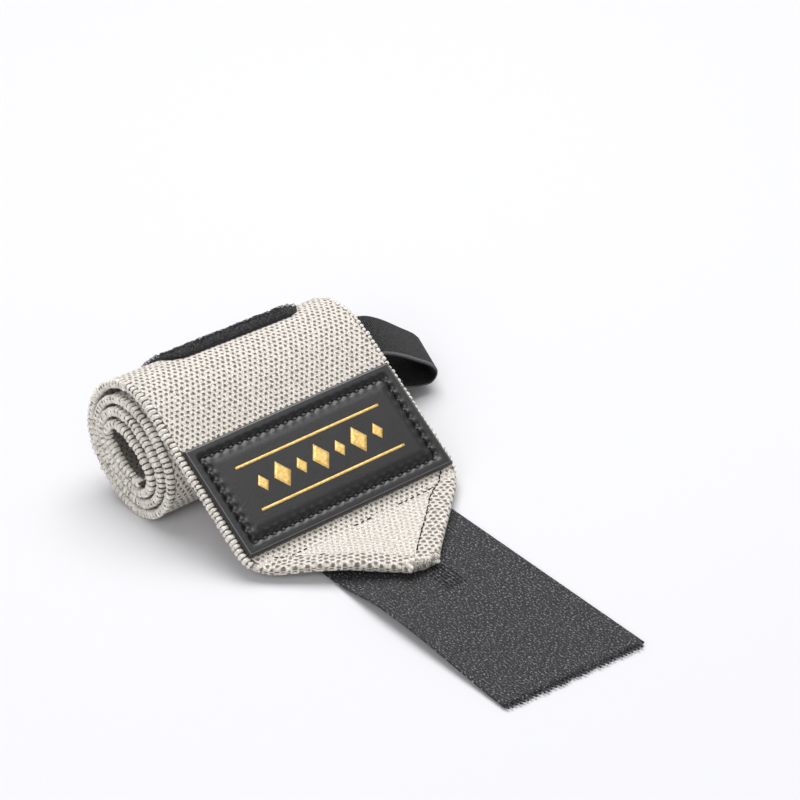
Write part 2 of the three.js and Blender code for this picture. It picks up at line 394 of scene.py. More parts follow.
def repeated(name, shape, places, material):
    """One piece made of many copies of a small shape, each put in place by its own matrix"""
    small = bpy.data.meshes.new(name + "_one")
    shape.to_mesh(small)
    shape.free()
    bm = bmesh.new()
    for place in places:
        one = small.copy()
        one.transform(place)
        bm.from_mesh(one)
        bpy.data.meshes.remove(one)
    bpy.data.meshes.remove(small)
    return finished(name, bm, material)


def bead_shape(length, depth, height):
    """A soft grain of thread, a block with all its edges rounded off"""
    bm = bmesh.new()
    bmesh.ops.create_cube(bm, size=1)
    bmesh.ops.scale(bm, verts=bm.verts[:], vec=(length, depth, height))
    bmesh.ops.bevel(
        bm,
        geom=bm.edges[:],
        offset=min(length, depth, height) * 0.42,
        offset_type="OFFSET",
        affect="EDGES",
        segments=2,
        profile=0.5,
        material=-1,
    )
    return bm


def grain_shape(length, width, height):
    """One stitch of thread seen from outside"""
    bm = bmesh.new()
    bmesh.ops.create_uvsphere(bm, u_segments=6, v_segments=5, radius=0.5)
    bmesh.ops.rotate(bm, verts=bm.verts[:], matrix=Matrix.Rotation(rad(90), 3, "Y"))
    bmesh.ops.scale(bm, verts=bm.verts[:], vec=(length, width, height))
    return bm


def arc_shape(radius, fibre, angle, steps, sides=4):
    """A bent fibre that stands on its two ends, or on one where the angle is under a half turn"""
    bm = bmesh.new()
    made = bmesh.ops.create_circle(bm, cap_ends=True, segments=sides, radius=fibre / 2)
    bmesh.ops.translate(bm, verts=made["verts"], vec=(radius, 0, 0))
    start = bm.faces[:]
    bmesh.ops.spin(
        bm,
        geom=start,
        cent=(0, 0, 0),
        axis=(0, -1, 0),
        angle=angle,
        steps=steps,
        use_merge=False,
        use_duplicate=False,
    )
    bmesh.ops.recalc_face_normals(bm, faces=bm.faces[:])
    return bm


# Materials


def linear(code, alpha=1):
    """An sRGB hex colour in linear light"""
    channels = [int(code[i : i + 2], 16) / 255 for i in (1, 3, 5)]
    return [c / 12.92 if c <= 0.04045 else ((c + 0.055) / 1.055) ** 2.4 for c in channels] + [alpha]


def add(tree, kind, settings=None, feeds=None):
    """Adds a node with its settings, and feeds its inputs with links or plain values"""
    node = tree.nodes.new(kind)
    for name, value in (settings or {}).items():
        setattr(node, name, value)
    for name, value in (feeds or {}).items():
        if isinstance(value, bpy.types.NodeSocket):
            tree.links.new(value, node.inputs[name])
        else:
            node.inputs[name].default_value = value
    return node


def material_tree(name, **surface):
    """A new material, its node tree and its surface shader with the plain values set on it"""
    material = bpy.data.materials.new(name)
    material.use_nodes = True
    tree = material.node_tree
    shader = tree.nodes["Principled BSDF"]
    for socket, value in surface.items():
        shader.inputs[socket.replace("_", " ")].default_value = value
    return material, tree, shader


def calculate(tree, operation, a, b=0.0, c=0.0):
    return add(tree, "ShaderNodeMath", {"operation": operation}, {0: a, 1: b, 2: c}).outputs[0]


def product(tree, a, b):
    return calculate(tree, "MULTIPLY", a, b)


def total(tree, a, b):
    return calculate(tree, "ADD", a, b)


def size_of(tree, value):
    return calculate(tree, "ABSOLUTE", value)


def blend_colours(tree, share, a, b):
    """From colour a to colour b, hex codes or links, which are a colour mix's inputs 6 and 7"""
    a, b = [linear(code) if isinstance(code, str) else code for code in (a, b)]
    node = add(tree, "ShaderNodeMix", {"data_type": "RGBA"}, {"Factor": share, 6: a, 7: b})
    return node.outputs[2]


def ramp_between(tree, value, low, high, to_low=0.0, to_high=1.0):
    node = add(
        tree,
        "ShaderNodeMapRange",
        {"interpolation_type": "SMOOTHSTEP"},
        {"Value": value, "From Min": low, "From Max": high, "To Min": to_low, "To Max": to_high},
    )
    return node.outputs["Result"]


def grain(tree, place, size, detail=2.0, roughness=0.5):
    """Even noise with grains of about the given size, in the units of the place"""
    feeds = {"Vector": place, "Scale": 1 / size, "Detail": detail, "Roughness": roughness}
    return add(tree, "ShaderNodeTexNoise", {}, feeds).outputs["Fac"]


def waves(tree, place, direction, scale, distortion, detail):
    feeds = {"Vector": place, "Scale": scale, "Distortion": distortion, "Detail": detail}
    return add(tree, "ShaderNodeTexWave", {"bands_direction": direction}, feeds).outputs["Fac"]


def vector(tree, operation, a, b):
    """A calculation with two vectors, or with a vector and a plain number that scales it"""
    second = "Scale" if operation == "SCALE" else 1
    return add(tree, "ShaderNodeVectorMath", {"operation": operation}, {0: a, second: b}).outputs[0]


def part_of(tree, place, axis):
    return add(tree, "ShaderNodeSeparateXYZ", {}, {0: place}).outputs[axis]


def knit_holes(tree, place, sizes, loose):
    """The open places of a knit, in rows that are staggered by half a stitch: 1 in a hole, 0 on yarn.
    place is (along, across) in millimetres, and loose pushes the stitches out of line."""
    push_size = 2.2
    opening_size = 2.6
    noise_feeds = {"Vector": place, "Scale": 1 / push_size, "Detail": 1.0}
    pushed = add(tree, "ShaderNodeTexNoise", {}, noise_feeds).outputs["Color"]
    centred = vector(tree, "SUBTRACT", pushed, (0.5, 0.5, 0.5))
    moved = vector(tree, "ADD", place, vector(tree, "SCALE", centred, loose))
    rows = calculate(tree, "DIVIDE", part_of(tree, moved, "X"), sizes.row)
    half_step = calculate(tree, "FRACT", product(tree, calculate(tree, "FLOOR", rows), 0.5))
    columns = calculate(tree, "DIVIDE", part_of(tree, moved, "Y"), sizes.column)
    columns = total(tree, columns, half_step)
    squares = []
    for count, step in ((rows, sizes.row), (columns, sizes.column)):
        off_middle = calculate(tree, "MULTIPLY_ADD", calculate(tree, "FRACT", count), step, -step / 2)
        squares.append(product(tree, off_middle, off_middle))
    distance = calculate(tree, "SQRT", total(tree, *squares))
    opened = grain(tree, place, opening_size, 1.0)
    edge = calculate(tree, "MULTIPLY_ADD", opened, sizes.hole * 1.4, sizes.hole * 0.75)
    share = calculate(tree, "DIVIDE", distance, edge)
    return ramp_between(tree, share, 0.45, 1.25, 1.0, 0.0)


def surface_place(tree, name="surface"):
    return add(tree, "ShaderNodeUVMap", {"uv_map": name}).outputs["UV"]


def object_place(tree):
    """Object coordinates in millimetres"""
    found = add(tree, "ShaderNodeTexCoord").outputs["Object"]
    return vector(tree, "SCALE", found, 1 / MM)


def bumped(tree, shader, height, depth):
    """Lets a height from 0 to 1 raise the surface by a depth in millimetres"""
    node = add(tree, "ShaderNodeBump", {}, {"Height": height, "Distance": depth * MM, "Strength": 1.0})
    tree.links.new(node.outputs["Normal"], shader.inputs["Normal"])


def knitted_elastic():
    """Warp-knitted polyester over rubber threads: matt, pale and warm, with small dark openings between
    the stitches that stand in staggered rows, and yarn that shades a little from stitch to stitch"""
    material, tree, shader = material_tree(
        "knitted_polyester_elastic",
        Roughness=0.92,
        Sheen_Weight=0.25,
        Sheen_Roughness=0.5,
        Specular_IOR_Level=0.25,
    )
    place = surface_place(tree)
    hem_place = surface_place(tree, "hem")
    hem_share = add(tree, "ShaderNodeAttribute", {"attribute_name": "hem_share"}).outputs["Fac"]
    body = knit_holes(tree, place, knit, 0.9)
    hem = knit_holes(tree, hem_place, hem_knit, 1.1)
    on_point = ramp_between(tree, hem_share, 0.25, 0.6)
    # The stretched cloth inside the point's hems has its openings nearly closed
    closed = ramp_between(tree, hem_share, 0.02, 0.2, 1.0, 0.42)
    body = product(tree, body, closed)
    body_part = product(tree, body, calculate(tree, "SUBTRACT", 1.0, on_point))
    holes = total(tree, body_part, product(tree, hem, on_point))
    yarn_share = grain(tree, place, 0.55, 3.0, 0.6)
    yarn_light = ramp_between(tree, yarn_share, 0.3, 0.7)
    yarn = blend_colours(tree, yarn_light, "#a89f95", "#fffaf2")
    patches = product(tree, grain(tree, place, 9.0, 2.0), 0.35)
    shaded = blend_colours(tree, patches, yarn, "#d8d0c7")
    colour = blend_colours(tree, product(tree, holes, 0.9), shaded, "#6a6057")
    # Between the turns of the whipping the cloth's raw edge lies in deep shade, in a narrower line at
    # the far edge, where the turns reach less far in
    in_from_edge = size_of(tree, part_of(tree, hem_place, "Y"))
    far_side = ramp_between(tree, part_of(tree, place, "Y"), -1.0, 1.0, 0.0, 0.55)
    under_whip = ramp_between(tree, total(tree, in_from_edge, far_side), 1.2, 1.45, 1.0, 0.0)
    under_whip = product(tree, under_whip, ramp_between(tree, hem_share, 0.0, 0.3, 1.0, 0.0))
    colour = blend_colours(tree, under_whip, colour, "#5a5049")
    # The innermost turns lie in the shade of the ones wound round them
    inner_turns = ramp_between(tree, part_of(tree, place, "X"), 45.0, 85.0, 0.85, 0.0)
    deep = product(tree, inner_turns, ramp_between(tree, in_from_edge, 1.8, 3.2))
    colour = blend_colours(tree, deep, colour, "#3a322c")
    tree.links.new(colour, shader.inputs["Base Color"])
    height = calculate(tree, "SUBTRACT", 0.65, holes)
    height = calculate(tree, "MULTIPLY_ADD", yarn_share, 0.35, height)
    bumped(tree, shader, height, 0.55)
    return material


def whipped_thread():
    """Textured polyester overlock thread: pale, matt and bulky, with painted shade down between its
    fibres
    """
    material, tree, shader = material_tree(
        "textured_polyester_thread",
        Roughness=0.9,
        Sheen_Weight=0.3,
        Sheen_Roughness=0.5,
        Specular_IOR_Level=0.25,
    )
    place = object_place(tree)
    tone = grain(tree, place, 1.9, 1.0)
    fibres = grain(tree, place, 0.35, 3.0, 0.65)
    lit = blend_colours(tree, ramp_between(tree, tone, 0.35, 0.65), "#e6dfd4", "#fffcf6")
    # Painted shade: darker where the fibre noise, which is also the bump's height, is low
    colour = blend_colours(tree, ramp_between(tree, fibres, 0.5, 0.3), lit, "#aba196")
    tree.links.new(colour, shader.inputs["Base Color"])
    bumped(tree, shader, fibres, 0.35)
    return material


def sewing_thread():
    """Black spun polyester sewing thread: matt, with a faint light from its twist"""
    material, tree, shader = material_tree(
        "spun_polyester_thread_black", Roughness=0.6, Specular_IOR_Level=0.3
    )
    twist = grain(tree, object_place(tree), 0.3, 2.0)
    colour = blend_colours(tree, twist, "#060607", "#1d1c1d")
    tree.links.new(colour, shader.inputs["Base Color"])
    bumped(tree, shader, twist, 0.1)
    return material


def smooth_leather():
    """Coated split leather: black, satin, with a very fine even grain and faint rubbed clouds"""
    material, tree, shader = material_tree(
        "coated_split_leather", Specular_IOR_Level=0.55, Coat_Weight=0.15, Coat_Roughness=0.2
    )
    place = surface_place(tree)
    feeds = {"Vector": place, "Scale": 1 / 0.42, "Randomness": 1.0}
    cells = add(tree, "ShaderNodeTexVoronoi", {"feature": "F1"}, feeds).outputs["Distance"]
    clouds = grain(tree, place, 11.0, 3.0, 0.55)
    fine = grain(tree, place, 0.8, 2.0)
    worn = ramp_between(tree, clouds, 0.3, 0.75)
    base = blend_colours(tree, worn, "#060607", "#121113")
    # A thin paler line painted just inside the outline, standing for the highlight that the pressed,
    # rounded rim catches
    to_side = calculate(tree, "SUBTRACT", patch.width / 2, size_of(tree, part_of(tree, place, "Y")))
    off_middle = calculate(tree, "SUBTRACT", part_of(tree, place, "X"), patch.height / 2)
    to_end = calculate(tree, "SUBTRACT", patch.height / 2, size_of(tree, off_middle))
    to_rim = calculate(tree, "MINIMUM", to_side, to_end)
    off_line = size_of(tree, calculate(tree, "SUBTRACT", to_rim, 0.62))
    painted_rim_highlight = ramp_between(tree, off_line, 0.1, 0.22, 0.3, 0.0)
    base = blend_colours(tree, painted_rim_highlight, base, "#98989c")
    tree.links.new(base, shader.inputs["Base Color"])
    roughness = calculate(tree, "MULTIPLY_ADD", fine, 0.1, 0.26)
    roughness = calculate(tree, "MULTIPLY_ADD", clouds, 0.12, roughness)
    tree.links.new(roughness, shader.inputs["Roughness"])
    bumped(tree, shader, total(tree, cells, fine), 0.025)
    return material


def gold_foil():
    """Hot-pressed gold foil: warm yellow, half gloss, worn thin in small specks"""
    material, tree, shader = material_tree("hot_pressed_gold_foil", Metallic=0.35, Roughness=0.42)
    wear = grain(tree, object_place(tree), 0.9, 3.0, 0.6)
    bright = ramp_between(tree, wear, 0.3, 0.7)
    colour = blend_colours(tree, bright, "#dfae56", "#f9d88c")
    tree.links.new(colour, shader.inputs["Base Color"])
    bumped(tree, shader, wear, 0.008)
    return material


def loop_pile():
    """Nylon loop pile, napped: deep black in its depth, with grey light on the tips of the loops"""
    material, tree, shader = material_tree(
        "napped_nylon_loop",
        Roughness=0.85,
        Sheen_Weight=0.35,
        Sheen_Roughness=0.4,
        Specular_IOR_Level=0.3,
    )
    tone = grain(tree, object_place(tree), 0.7, 2.0)
    light = ramp_between(tree, tone, 0.35, 0.7)
    colour = blend_colours(tree, light, "#080809", "#2c2c2e")
    tree.links.new(colour, shader.inputs["Base Color"])
    return material


def hook_tape_weave():
    """Woven nylon hook tape seen from its back: dark grey, a fine weave with pale and black specks
    where the monofilaments pass through"""
    material, tree, shader = material_tree(
        "woven_nylon_hook_tape", Roughness=0.7, Sheen_Weight=0.05, Specular_IOR_Level=0.3
    )
    place = surface_place(tree)
    stretched = vector(tree, "MULTIPLY", place, (0.5, 1.0, 1.0))
    specks = grain(tree, stretched, 0.42, 1.5, 0.6)
    ribs = waves(tree, place, "Y", 0.26, 2.0, 2.0)
    clouds = grain(tree, place, 7.0, 2.0)
    base = blend_colours(tree, clouds, "#242426", "#3e3e41")
    base = blend_colours(tree, product(tree, ribs, 0.6), base, "#121213")
    dark = blend_colours(tree, ramp_between(tree, specks, 0.46, 0.34), base, "#161617")
    pale_specks = ramp_between(tree, specks, 0.55, 0.72, 0.0, 0.75)
    pale = blend_colours(tree, pale_specks, dark, "#a9a9ac")
    tree.links.new(pale, shader.inputs["Base Color"])
    bumped(tree, shader, calculate(tree, "MULTIPLY_ADD", ribs, 0.5, specks), 0.35)
    return material


def strap_weave():
    """Woven rubber elastic: charcoal, in fine cross ribs, with a painted highlight along its edges and
    painted shade on its inner face
    """
    material, tree, shader = material_tree(
        "woven_rubber_elastic", Roughness=0.85, Sheen_Weight=0.06, Specular_IOR_Level=0.2
    )
    place = surface_place(tree)
    flecks = grain(tree, place, 0.75, 3.0, 0.7)
    ribs = waves(tree, place, "X", 0.36, 2.0, 1.5)
    threads = product(tree, flecks, calculate(tree, "MULTIPLY_ADD", ribs, 0.6, 0.7))
    lit = ramp_between(tree, threads, 0.36, 0.68)
    colour = blend_colours(tree, lit, "#050506", "#424244")
    across = part_of(tree, place, "Y")
    # A paler line painted along both edges of the outer face, standing for the highlight the edges
    # catch
    edge_highlight_from = thumb.width / 2 - 0.75
    edge = ramp_between(tree, size_of(tree, across), edge_highlight_from, edge_highlight_from + 0.45, 0.0, 0.8)
    # The inner face is painted near black, for the shade inside the loop where the lamps' light hardly
    # reaches
    outer = blend_colours(tree, edge, colour, "#77777a")
    inner = ramp_between(tree, across, inner_face * 0.4, inner_face * 0.6)
    tree.links.new(blend_colours(tree, inner, outer, "#060607"), shader.inputs["Base Color"])
    bumped(tree, shader, threads, 0.4)
    return material


def pale_floor():
    """A plain matt white sheet"""
    material, tree, shader = material_tree("matt_white_sheet", Roughness=0.7, Specular_IOR_Level=0.2)
    shader.inputs["Base Color"].default_value = linear("#dbdbde")
    return material


# Pieces


def edge_distance(across_share, half, zone):
    """The distance in from the nearer edge for a place across, closer together near the edge"""
    from_edge = 1 - abs(across_share)
    near = 0.6
    if from_edge < near:
        return zone * (from_edge / near) ** 1.5
    return zone + (half - zone) * (from_edge - near) / (1 - near)


def band_half_thickness(along, inset):
    """Half the cloth's thickness: thin under the whipping, and a rounded double fold on the point"""
    plain = band.body / 2 * rounded(inset + 0.05, 1.0)
    hem_share = smooth(along, point_start - point.shoulder, point_start + point.shoulder)
    across_hem = inset / slant
    fold = point.hem_thickness / 2 * rounded(across_hem + 0.05, 1.5)
    inner = smooth(across_hem, point.hem_width - 0.6, point.hem_width + 0.5)
    hem = mix(fold, band.body / 2, inner)
    tip_round = rounded(band_length - along + 0.1, 1.6)
    return max(0.12, mix(plain, hem, hem_share) * tip_round)


def band_place(along, across_share, layer):
    station = station_at(along)
    half = half_width(along)
    zone = min(11, half * 0.8)
    inset = edge_distance(across_share, half, zone)
    side = 1 if across_share > 0 else -1
    across = side * (half - inset)
    thickness = band_half_thickness(along, inset)
    flap_share = smooth(along, crest_along, crest_along + 12)
    dimple = 0.22 * noise.noise(Vector((along / 7, across / 7, 0.5))) * flap_share
    return on_cloth(station, across, layer * thickness + dimple), (along, across)


def band_hem(along, across_share, layer):
    """The place along the slanted edge and in from it, going on round the edge to the under side, and
    how much of the point's hem is here"""
    half = half_width(along)
    inset = edge_distance(across_share, half, min(11, half * 0.8))
    hem_share = smooth(along, point_start - 2, point_start + 4)
    inside = 1 - smooth(inset / slant, point.hem_width - 0.4, point.hem_width + 0.4)
    share = hem_share * mix(0.2, 1, inside)
    from_edge = inset / slant if layer > 0 else -inset / slant - point.hem_thickness * 0.8
    return ((along - point_start) * slant + taper * inset / slant, from_edge), share


def elastic_band():
    along_cuts = [a for a in cuts(band_length, 1.5) if a < band_length - 3]
    along_cuts += [band_length - back for back in (2.6, 2.0, 1.5, 1.0, 0.6, 0.3, 0.1, 0)]
    across_cuts = [i / 22 - 1 for i in range(45)]
    bm = slab(along_cuts, across_cuts, band_place, band_hem)
    made = finished("elastic_band", bm, knitted_elastic())
    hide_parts("band")
    return made


def whipped_edges():
    """The turns of thread that wrap both selvedges, up to where the point is folded"""
    chance = random.Random(11)
    places = []
    for side in (-1, 1):
        along = whip.pitch / 2
        while along < point_start - 1:
            size = chance.uniform(0.9, 1.06)
            turn = Matrix.Rotation(rad(chance.uniform(-9, 9) + 7 * side), 4, "Z")
            tilt = Matrix.Rotation(rad(chance.uniform(-8, 8)), 4, "X")
            depth = whip.depth if side < 0 else whip.far_depth
            wide = depth / whip.depth
            grow = Matrix.Diagonal((size, size * wide * chance.uniform(0.92, 1.06), min(size, 1), 1))
            inset = depth / 2 - whip.overhang + chance.uniform(-0.15, 0.15)
            across = side * (half_width(along) - inset)
            places.append(cloth_frame(along, across, 0) @ turn @ tilt @ grow)
            along += whip.pitch * chance.uniform(0.93, 1.07)
    shape = bead_shape(whip.length, whip.depth, whip.height)
    return repeated("whipped_edges", shape, places, whipped_thread_finish)


def patch_height(u, v):
    """The patch's upper face over its lower one: a rounded rim, a flat lip, a sewn groove with a pucker
    at every stitch, and a slightly padded middle"""
    to_side = patch.width / 2 - abs(u)
    to_end = patch.height / 2 - abs(v)
    rim = rounded(min(to_side, to_end) + 0.04, frame_seam.rim)
    from_seam = min(to_side, to_end) - frame_seam.inset
    along_seam = u if to_end < to_side else v
    wave = 0.5 + 0.5 * math.cos(2 * math.pi * along_seam / frame_seam.pitch)
    groove = math.exp(-((from_seam / (frame_seam.groove / 2)) ** 2))
    shoulder = math.exp(-(((from_seam - 1.1) / 0.9) ** 2)) * (1 - wave) * frame_seam.pucker
    padded = padding.height * smooth(from_seam, padding.start, padding.full)
    dent = frame_seam.depth * groove * (0.35 + 0.65 * wave)
    return patch.thickness * rim - dent + shoulder + padded


def patch_place(along, across, layer):
    v = along - patch.height / 2
    u = across
    station = station_at(band_length - patch.from_tip - patch.height + along)
    under = 1.2 if abs(across) < patch.width / 2 - 2 else band.edge / 2 + 0.15
    top = band.edge / 2 + clearance
    height = under if layer < 0 else top + patch_height(u, v)
    return on_cloth(station, across, height), (along, across)


def leather_patch():
    along_cuts = [0, 0.08, 0.2, 0.36] + cuts(patch.height, 0.4)[2:-2]
    along_cuts += [patch.height - back for back in (0.36, 0.2, 0.08, 0)]
    half = patch.width / 2
    across_cuts = [-half, 0.08 - half, 0.2 - half, 0.36 - half]
    across_cuts += [c - half for c in cuts(patch.width, 0.42)[2:-2]]
    across_cuts += [half - 0.36, half - 0.2, half - 0.08, half]
    bm = slab(along_cuts, across_cuts, patch_place)
    made = finished("leather_patch", bm, smooth_leather())
    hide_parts("label_patch")
    return made


def patch_frame(u, v, height):
    """Where a small shape sits over the patch, u across from its middle and v down from it"""
    along = band_length - patch.from_tip - patch.height / 2 + v
    base = band.edge / 2 + clearance + patch_height(u, v)
    return cloth_frame(along, u, base + height)


def patch_thread():
    """The stitches in the patch's groove, one in every pucker"""
    places = []
    half_u = patch.width / 2 - frame_seam.inset
    half_v = patch.height / 2 - frame_seam.inset
    count_u = int(half_u / frame_seam.pitch)
    count_v = int(half_v / frame_seam.pitch)
    slanted = 8
    height = 0.02
    for i in range(-count_u, count_u):
        u = (i + 0.5) * frame_seam.pitch
        turn = Matrix.Rotation(rad(90 - slanted), 4, "Z")
        places += [patch_frame(u, v, height) @ turn for v in (-half_v, half_v)]
    for i in range(-count_v, count_v):
        v = (i + 0.5) * frame_seam.pitch
        turn = Matrix.Rotation(rad(slanted), 4, "Z")
        places += [patch_frame(u, v, height) @ turn for u in (-half_u, half_u)]
    shape = grain_shape(2.4, 0.8, 0.55)
    return repeated("patch_thread", shape, places, sewing_finish)


def foil_rule(bm, v):
    """A thin flat bar of foil across the patch"""
    length = 2 * rule.half_length
    steps = round(length / 1.5)
    made = bmesh.ops.create_grid(bm, x_segments=steps, y_segments=2, size=0.5)
    for vert in made["verts"]:
        at_u = mix(-rule.half_length, rule.half_length, vert.co.x + 0.5)
        vert.co = patch_frame(at_u, v + vert.co.y * rule.width, 0.06).translation


def foil_lozenge(bm, u, v, half_u, half_v):
    """A square grid stood on its corner"""
    made = bmesh.ops.create_grid(bm, x_segments=5, y_segments=5, size=0.5)
    for vert in made["verts"]:
        x = (vert.co.x - vert.co.y) * half_u
        y = (vert.co.x + vert.co.y) * half_v
        vert.co = patch_frame(u + x, v + y, 0.05).translation


def foil_ornament():
    """Plain ornament pressed on the patch: a row of lozenges between two thin rules"""
    bm = bmesh.new()
    for v in (-rule.off_middle, rule.off_middle):
        foil_rule(bm, v)
    for i in range(-3, 4):
        size = 1 if i % 2 == 0 else foil.small
        foil_lozenge(bm, i * foil.step, 0, foil.half_width * size, foil.half_height * size)
    bmesh.ops.recalc_face_normals(bm, faces=bm.faces[:])
    made = finished("foil_ornament", bm, gold_foil())
    thick = made.modifiers.new("foil", "SOLIDIFY")
    thick.thickness = foil.thickness * MM
    return made


def strip_half(along):
    to_end = min(along, strip.length - along)
    if to_end >= strip.corner:
        return strip.width / 2
    return strip.width / 2 - strip.corner + math.sqrt(strip.corner**2 - (strip.corner - to_end) ** 2)


def strip_station(along):
    return station_at(crest_along + strip.past_crest - strip.length + along)


def strip_place(along, across_share, layer):
    across = strip.off_centre + across_share * strip_half(along)
    height = band.body / 2 + pile.gap + (pile.backing if layer > 0 else 0)
    return on_cloth(strip_station(along), across, height), (along, across)


def pile_strip():
    bm = slab(cuts(strip.length, 1.5), [i / 8 - 1 for i in range(17)], strip_place)
    made = finished("pile_strip", bm, pile_finish)
    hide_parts("loop_strip")
    return made


def pile_loops():
    """The napped loops that stand on the strip, bent every way"""
    chance = random.Random(5)
    places = []
    base = crest_along + strip.past_crest - strip.length
    height = band.body / 2 + pile.gap + pile.backing
    for along in cuts(strip.length - 0.8, pile.pitch):
        half = strip_half(along + 0.4) - 0.3
        for across in cuts(2 * half, pile.pitch):
            at = along + 0.4 + chance.uniform(-0.3, 0.3)
            side = strip.off_centre - half + across + chance.uniform(-0.3, 0.3)
            turn = Matrix.Rotation(chance.uniform(0, math.pi), 4, "Z")
            tilt = Matrix.Rotation(rad(chance.uniform(-38, 38)), 4, "X")
            size = chance.uniform(0.7, 1.25)
            grow = Matrix.Diagonal((size * 0.85, size, size * 1.5, 1))
            places.append(cloth_frame(base + at, side, height - 0.1) @ turn @ tilt @ grow)
    shape = arc_shape(pile.loop, pile.fibre, math.pi, 5, sides=3)
    return repeated("pile_loops", shape, places, pile_finish)


def tab_lie(x, y, z):
    turned = Matrix.Rotation(-rad(tab.turn), 3, "Z") @ Vector((x, y, z))
    return turned + Vector((tab.off_centre, tip.y, 0))


def tab_top(along, across_share):
    side = max(0, -across_share)
    rising = smooth(along, tab.under * 0.5, tab.under * 1.4)
    falling = smooth(tab.length - along, 0, tab.length * 0.55)
    return tab.thickness + tab.curl * side**2 * rising * falling


def tab_place(along, across_share, layer):
    edge = rounded((1 - abs(across_share)) * tab.width / 2 + 0.05, 0.5)
    top = tab_top(along, across_share)
    middle = top - hooks.backing / 2
    z = middle + layer * hooks.backing / 2 * edge
    across = across_share * tab.width / 2
    return tab_lie(across, tab.under - along, z), (along, across)


def hook_tape():
    shares = [math.sin(math.pi / 2 * (i / 14 - 1)) for i in range(29)]
    bm = slab(cuts(tab.length - comb.length, 2), shares, tab_place)
    made = finished("hook_tape", bm, tape_finish)
    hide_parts("hook_tab")
    return made


def cut_teeth():
    """The cut ends of the tape's lengthwise ribs, like the teeth of a comb"""
    chance = random.Random(3)
    places = []
    across = -tab.width / 2 + 0.6
    while across < tab.width / 2 - 0.5:
        long = chance.uniform(0.7, 1.15)
        middle = comb.length - comb.length * 0.5 * long
        at = tab_lie(across, tab.under - tab.length + middle, tab.thickness - 0.42)
        turn = Matrix.Rotation(rad(chance.uniform(-16, 16)), 4, "Z")
        grow = Matrix.Diagonal((chance.uniform(0.75, 1.1), long, 1, 1))
        places.append(upright(at) @ turn @ grow)
        across += chance.uniform(1.05, 1.6)
    shape = bead_shape(comb.width, comb.length * 1.3, comb.height)
    return repeated("cut_teeth", shape, places, tape_finish)


def tape_hooks():
    """The hooks under the tab, in rows, all leaning along the tape"""
    places = []
    chance = random.Random(8)
    for along in cuts(tab.length - 2 * hooks.margin, hooks.pitch):
        for across in cuts(tab.width - 2 * hooks.margin, hooks.pitch):
            x = across - tab.width / 2 + hooks.margin
            share = x / (tab.width / 2)
            z = tab_top(along + hooks.start, share) - hooks.backing - 0.22
            at = tab_lie(x, tab.under - along - hooks.start, z)
            turn = Matrix.Rotation(rad(90 + chance.uniform(-12, 12)), 4, "Z")
            flip = Matrix.Rotation(rad(180), 4, "X")
            places.append(upright(at) @ turn @ flip)
    shape = arc_shape(hooks.loop, hooks.fibre, math.pi * 0.95, 4, sides=3)
    return repeated("tape_hooks", shape, places, tape_finish)


def stitch_places(path, pitch, height, shown, seed):
    """Where the stitches of one seam lie. path is a list of (along, across) on the cloth, and shown
    lists the stretches where the thread can be seen, as shares of the seam."""
    chance = random.Random(seed)
    lengths = [math.dist(a, b) for a, b in zip(path, path[1:])]
    length = sum(lengths)
    places = []
    done = pitch / 2
    while done < length:
        rest = done
        span = 0
        while rest > lengths[span]:
            rest -= lengths[span]
            span += 1
        a = Vector(path[span])
        b = Vector(path[span + 1])
        at = a.lerp(b, rest / lengths[span])
        way = math.atan2(b.y - a.y, b.x - a.x)
        if any(first < done / length < last for first, last in shown):
            across = at.y + chance.uniform(-0.22, 0.22)
            turn = Matrix.Rotation(way + rad(chance.uniform(-12, 12)), 4, "Z")
            grow = Matrix.Diagonal((chance.uniform(0.75, 1.15), chance.uniform(0.7, 1.1), 1, 1))
            places.append(cloth_frame(at.x, across, height) @ turn @ grow)
        done += pitch
    return places


def seam_path(side, start_back, end_back, points=8):
    """The seam that holds a hem, inside the slanted edge of one side"""
    path = []
    for i in range(points + 1):
        back = mix(start_back, end_back, i / points)
        along = band_length - back
        inset = point.hem_width * slant * smooth(along, point_start - 6, point_start + 4)
        inset = max(inset, 5.2)
        path.append((along, side * (half_width(along) - inset)))
    return path


def point_seams():
    """Black thread on the point: the seam inside the right hem, what shows of the left one, and the
    line that runs just below the patch"""
    top = band.body / 2 + 0.12
    below_patch = band_length - patch.from_tip
    under_patch = [(below_patch + 5.2, -27), (below_patch + 4.6, 31)]
    places = stitch_places(seam_path(1, 33, 6), 1.9, top + 0.25, [(0, 1)], 21)
    faint = [(0.05, 0.3), (0.42, 0.5)]
    places += stitch_places(seam_path(-1, 31.5, 9), 2.3, top + 0.2, faint, 22)
    parts = [(0, 0.12), (0.4, 0.52), (0.72, 1)]
    places += stitch_places(under_patch, 2.4, top, parts, 23)
    shape = grain_shape(thread.length, thread.width, thread.height)
    return repeated("point_seams", shape, places, sewing_finish)


def tab_seam():
    """The rows of black stitches that sew the tab to the point, seen just past the tip"""
    chance = random.Random(31)
    places = []
    for column in range(6):
        for row in range(6):
            x = -1.8 + column * 1.25 + chance.uniform(-0.15, 0.15)
            back = 0.6 + row * 1.9 + chance.uniform(-0.3, 0.3)
            at = tab_lie(x, -back, tab.thickness + 0.04)
            turn = Matrix.Rotation(rad(90 + chance.uniform(-10, 10)), 4, "Z")
            places.append(upright(at) @ turn)
    shape = grain_shape(1.5, 0.6, 0.4)
    return repeated("tab_seam", shape, places, sewing_finish)


